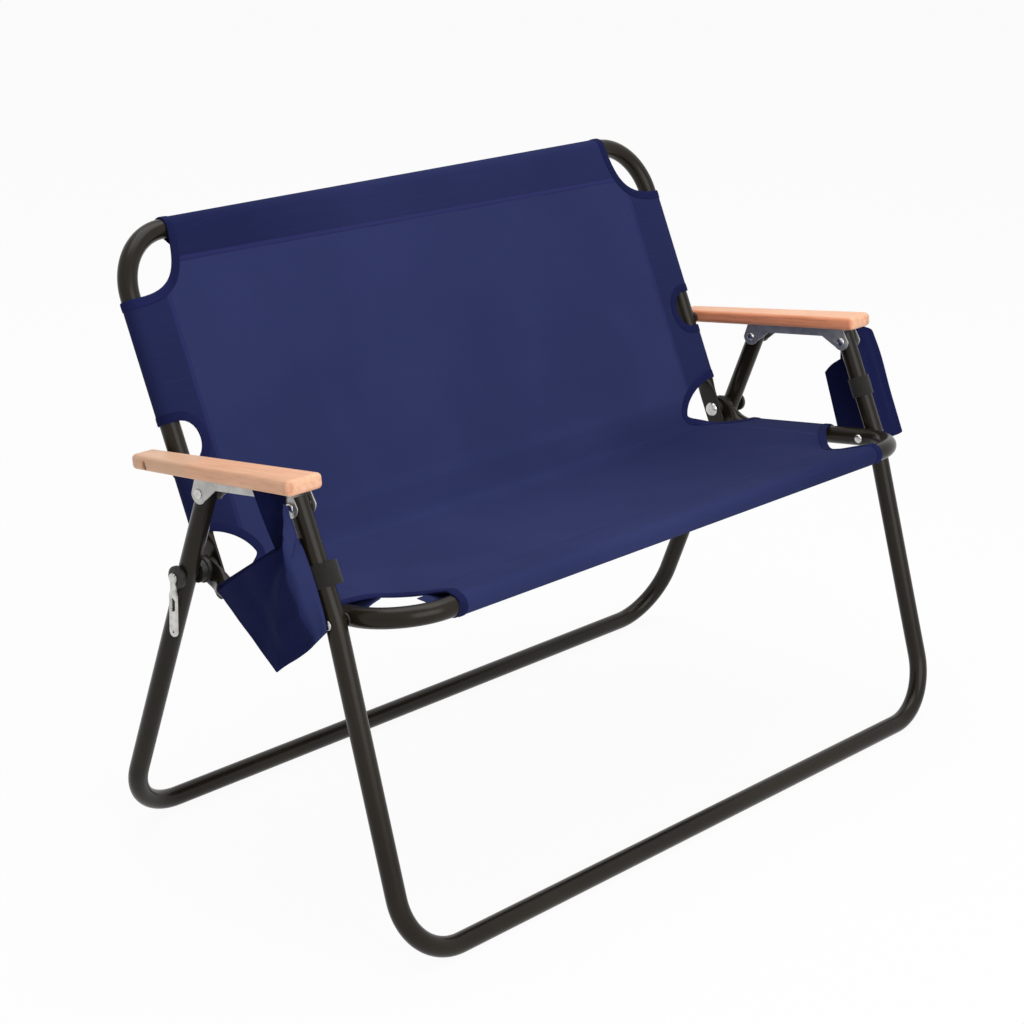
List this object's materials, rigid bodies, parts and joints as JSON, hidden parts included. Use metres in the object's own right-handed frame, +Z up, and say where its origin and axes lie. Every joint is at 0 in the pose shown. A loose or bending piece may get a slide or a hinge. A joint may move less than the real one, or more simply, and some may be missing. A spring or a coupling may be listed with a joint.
{
  "type": "folding loveseat",
  "caption": "Low folding two-seat bench with bent steel tube legs, a stretched canvas sling, wooden armrests and canvas bottle pockets beside the front legs.",
  "frame": {"origin": "on the floor, under the middle of the bounding box", "axes": "+X along the bench's width, towards the sitter's left hand; +Y towards the rear; +Z up. Left and right in node names are as seen from the front, so left is the -X side"},
  "size_m": [1.133, 0.5774, 0.7361],
  "materials": {
    "tube_paint": "satin bronze-black powder coat",
    "navy_canvas": "matt woven canvas",
    "navy_binding": "matt woven canvas",
    "beech": "satin lacquer",
    "zinc_sheet": "zinc plated",
    "bright_steel": "polished",
    "black_plastic": "matt",
    "black_webbing": "ribbed webbing"
  },
  "bodies": {
    "rear_leg": {"rear_leg_frame": "tube_paint", "hinge_bolt_left": "bright_steel", "hinge_bolt_right": "bright_steel", "hinge_washer_left": "black_plastic", "hinge_washer_right": "black_plastic", "hinge_bush_left": "black_plastic", "hinge_bush_right": "black_plastic", "hinge_cap_left": "black_plastic", "hinge_cap_right": "black_plastic", "opener_stud": "bright_steel"},
    "backrest": {"backrest_frame": "tube_paint", "sling_back": "navy_canvas"},
    "seat": {"seat_frame": "tube_paint", "sling_seat": "navy_canvas", "sling_crease": "navy_canvas", "seat_rivet_left": "bright_steel", "seat_rivet_right": "bright_steel", "seat_spacer_left": "black_plastic", "seat_spacer_right": "black_plastic"},
    "armrests": {"armrest_left": "beech", "armrest_right": "beech", "arm_bracket_left": "zinc_sheet", "arm_bracket_right": "zinc_sheet", "bracket_screw_front_left": "bright_steel", "bracket_screw_front_right": "bright_steel", "bracket_screw_rear_left": "bright_steel", "bracket_screw_rear_right": "bright_steel", "front_rivet_left": "bright_steel", "front_rivet_right": "bright_steel", "rear_pin_left": "bright_steel", "rear_pin_right": "bright_steel", "arm_bolt_left": "bright_steel", "arm_bolt_right": "bright_steel", "arm_spacer_left": "black_plastic", "arm_spacer_right": "black_plastic", "pocket_left": "navy_canvas", "pocket_right": "navy_canvas", "pocket_flap_left": "navy_binding", "pocket_flap_right": "navy_binding"},
    "front_leg": {"front_leg_frame": "tube_paint", "leg_strap_left": "black_webbing", "leg_strap_right": "black_webbing"},
    "opener": {"bottle_opener": "bright_steel"}
  },
  "joints": [
    {"name": "back_fold", "type": "hinge", "parent": "rear_leg", "child": "backrest", "pos_m": [0, 0.09915, 0.3665], "axis": [1, 0, 0], "range_deg": [0, 27]},
    {"name": "seat_fold", "type": "hinge", "parent": "backrest", "child": "seat", "pos_m": [0, 0.09915, 0.3665], "axis": [-1, 0, 0], "range_deg": [0, 86], "deforming": ["sling_crease"]},
    {"name": "arm_fold", "type": "hinge", "parent": "backrest", "child": "armrests", "pos_m": [0, 0.15808, 0.48573], "axis": [-1, 0, 0], "range_deg": [0, 86]},
    {"name": "front_leg_fold", "type": "hinge", "parent": "armrests", "child": "front_leg", "pos_m": [0, -0.09242, 0.50223], "axis": [1, 0, 0], "range_deg": [0, 86]},
    {"name": "opener_swing", "type": "hinge", "parent": "rear_leg", "child": "opener", "pos_m": [-0.52285, 0.09915, 0.3665], "axis": [1, 0, 0], "range_deg": [-60, 60]}
  ],
  "couplings": [
    {"joint": "back_fold", "follows": "seat_fold", "ratio": 0.31394},
    {"joint": "arm_fold", "follows": "seat_fold", "ratio": 1},
    {"joint": "front_leg_fold", "follows": "seat_fold", "ratio": 1}
  ]
}
